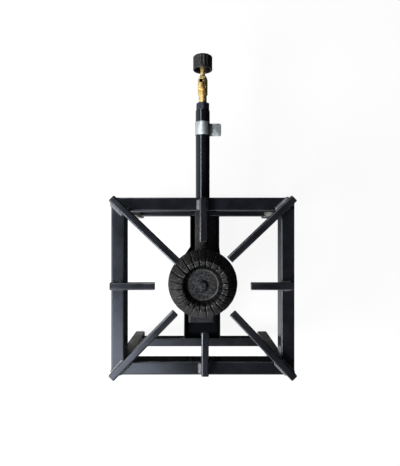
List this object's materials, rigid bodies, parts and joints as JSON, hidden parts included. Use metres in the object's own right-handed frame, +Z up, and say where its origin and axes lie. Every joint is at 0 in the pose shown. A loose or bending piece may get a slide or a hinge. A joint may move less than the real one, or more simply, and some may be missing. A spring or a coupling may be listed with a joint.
{
  "type": "floor gas stove",
  "caption": "Low gas stove: welded square steel frame with pot bars, slotted cast burner, long mixing tube with air shutter, brass needle valve and knob.",
  "frame": {"origin": "on the floor under the middle of the whole stove's box", "axes": "+Z up, +Y along the gas tube towards the valve and knob, +X towards the air shutter's finger tab"},
  "size_m": [0.3026, 0.5543, 0.2],
  "materials": {
    "black_enamel": "glossy black enamel on welded steel tube",
    "pot_bar_enamel": "thin black enamel on solid steel bar, a little greyer on top",
    "burner_iron": "rough sand-cast iron with a dark brown bloom",
    "zinc_sheet": "dull galvanised sheet",
    "brass": "turned brass, slightly dulled",
    "steel": "plain zinc-plated fasteners",
    "packing": "white packing ring",
    "knob_plastic": "black moulded plastic with a soft sheen"
  },
  "bodies": {
    "stove": {"frame_front_bar": "black_enamel", "frame_back_bar": "black_enamel", "frame_left_bar": "black_enamel", "frame_right_bar": "black_enamel", "leg_front_left": "black_enamel", "leg_front_right": "black_enamel", "leg_back_left": "black_enamel", "leg_back_right": "black_enamel", "lower_rail_front": "black_enamel", "lower_rail_back": "black_enamel", "pot_bar_back_left": "pot_bar_enamel", "pot_bar_back_right": "pot_bar_enamel", "pot_bar_front_left": "pot_bar_enamel", "pot_bar_front_right": "pot_bar_enamel", "pot_bar_left": "pot_bar_enamel", "pot_bar_right": "pot_bar_enamel", "pot_bar_front": "pot_bar_enamel", "pot_bar_back": "pot_bar_enamel", "burner_carrier": "black_enamel", "burner_seat": "black_enamel", "burner_bowl": "burner_iron", "burner_bolt": "steel", "burner_washer": "steel", "mixing_tube": "black_enamel", "valve_adapter": "black_enamel", "gas_jet": "brass", "valve_body": "brass", "hose_tail": "brass", "gland_packing": "packing", "gland_nut": "brass"},
    "cap": {"burner_cap": "burner_iron"},
    "shutter": {"air_shutter": "zinc_sheet"},
    "spindle": {"valve_spindle": "brass"},
    "knob": {"valve_knob": "knob_plastic", "knob_screw": "steel"}
  },
  "joints": [
    {"name": "burner_cap_lift", "type": "slide", "parent": "stove", "child": "cap", "axis": [0, -0.0698, 0.9976], "range_m": [0, 0.035]},
    {"name": "air_shutter_turn", "type": "hinge", "parent": "stove", "child": "shutter", "pos_m": [0, 0.14984, 0.12425], "axis": [0, 0.9976, 0.0698], "range_deg": [-15, 80]},
    {"name": "spindle_advance", "type": "slide", "parent": "stove", "child": "spindle", "axis": [0, 0.9976, 0.0698], "range_m": [0, 0.00313]},
    {"name": "knob_turn", "type": "hinge", "parent": "spindle", "child": "knob", "pos_m": [0, 0.26456, 0.13228], "axis": [0, 0.9976, 0.0698], "range_deg": [0, 900]}
  ],
  "couplings": [
    {"joint": "knob_turn", "follows": "spindle_advance", "rad_per_m": 5026.5}
  ]
}
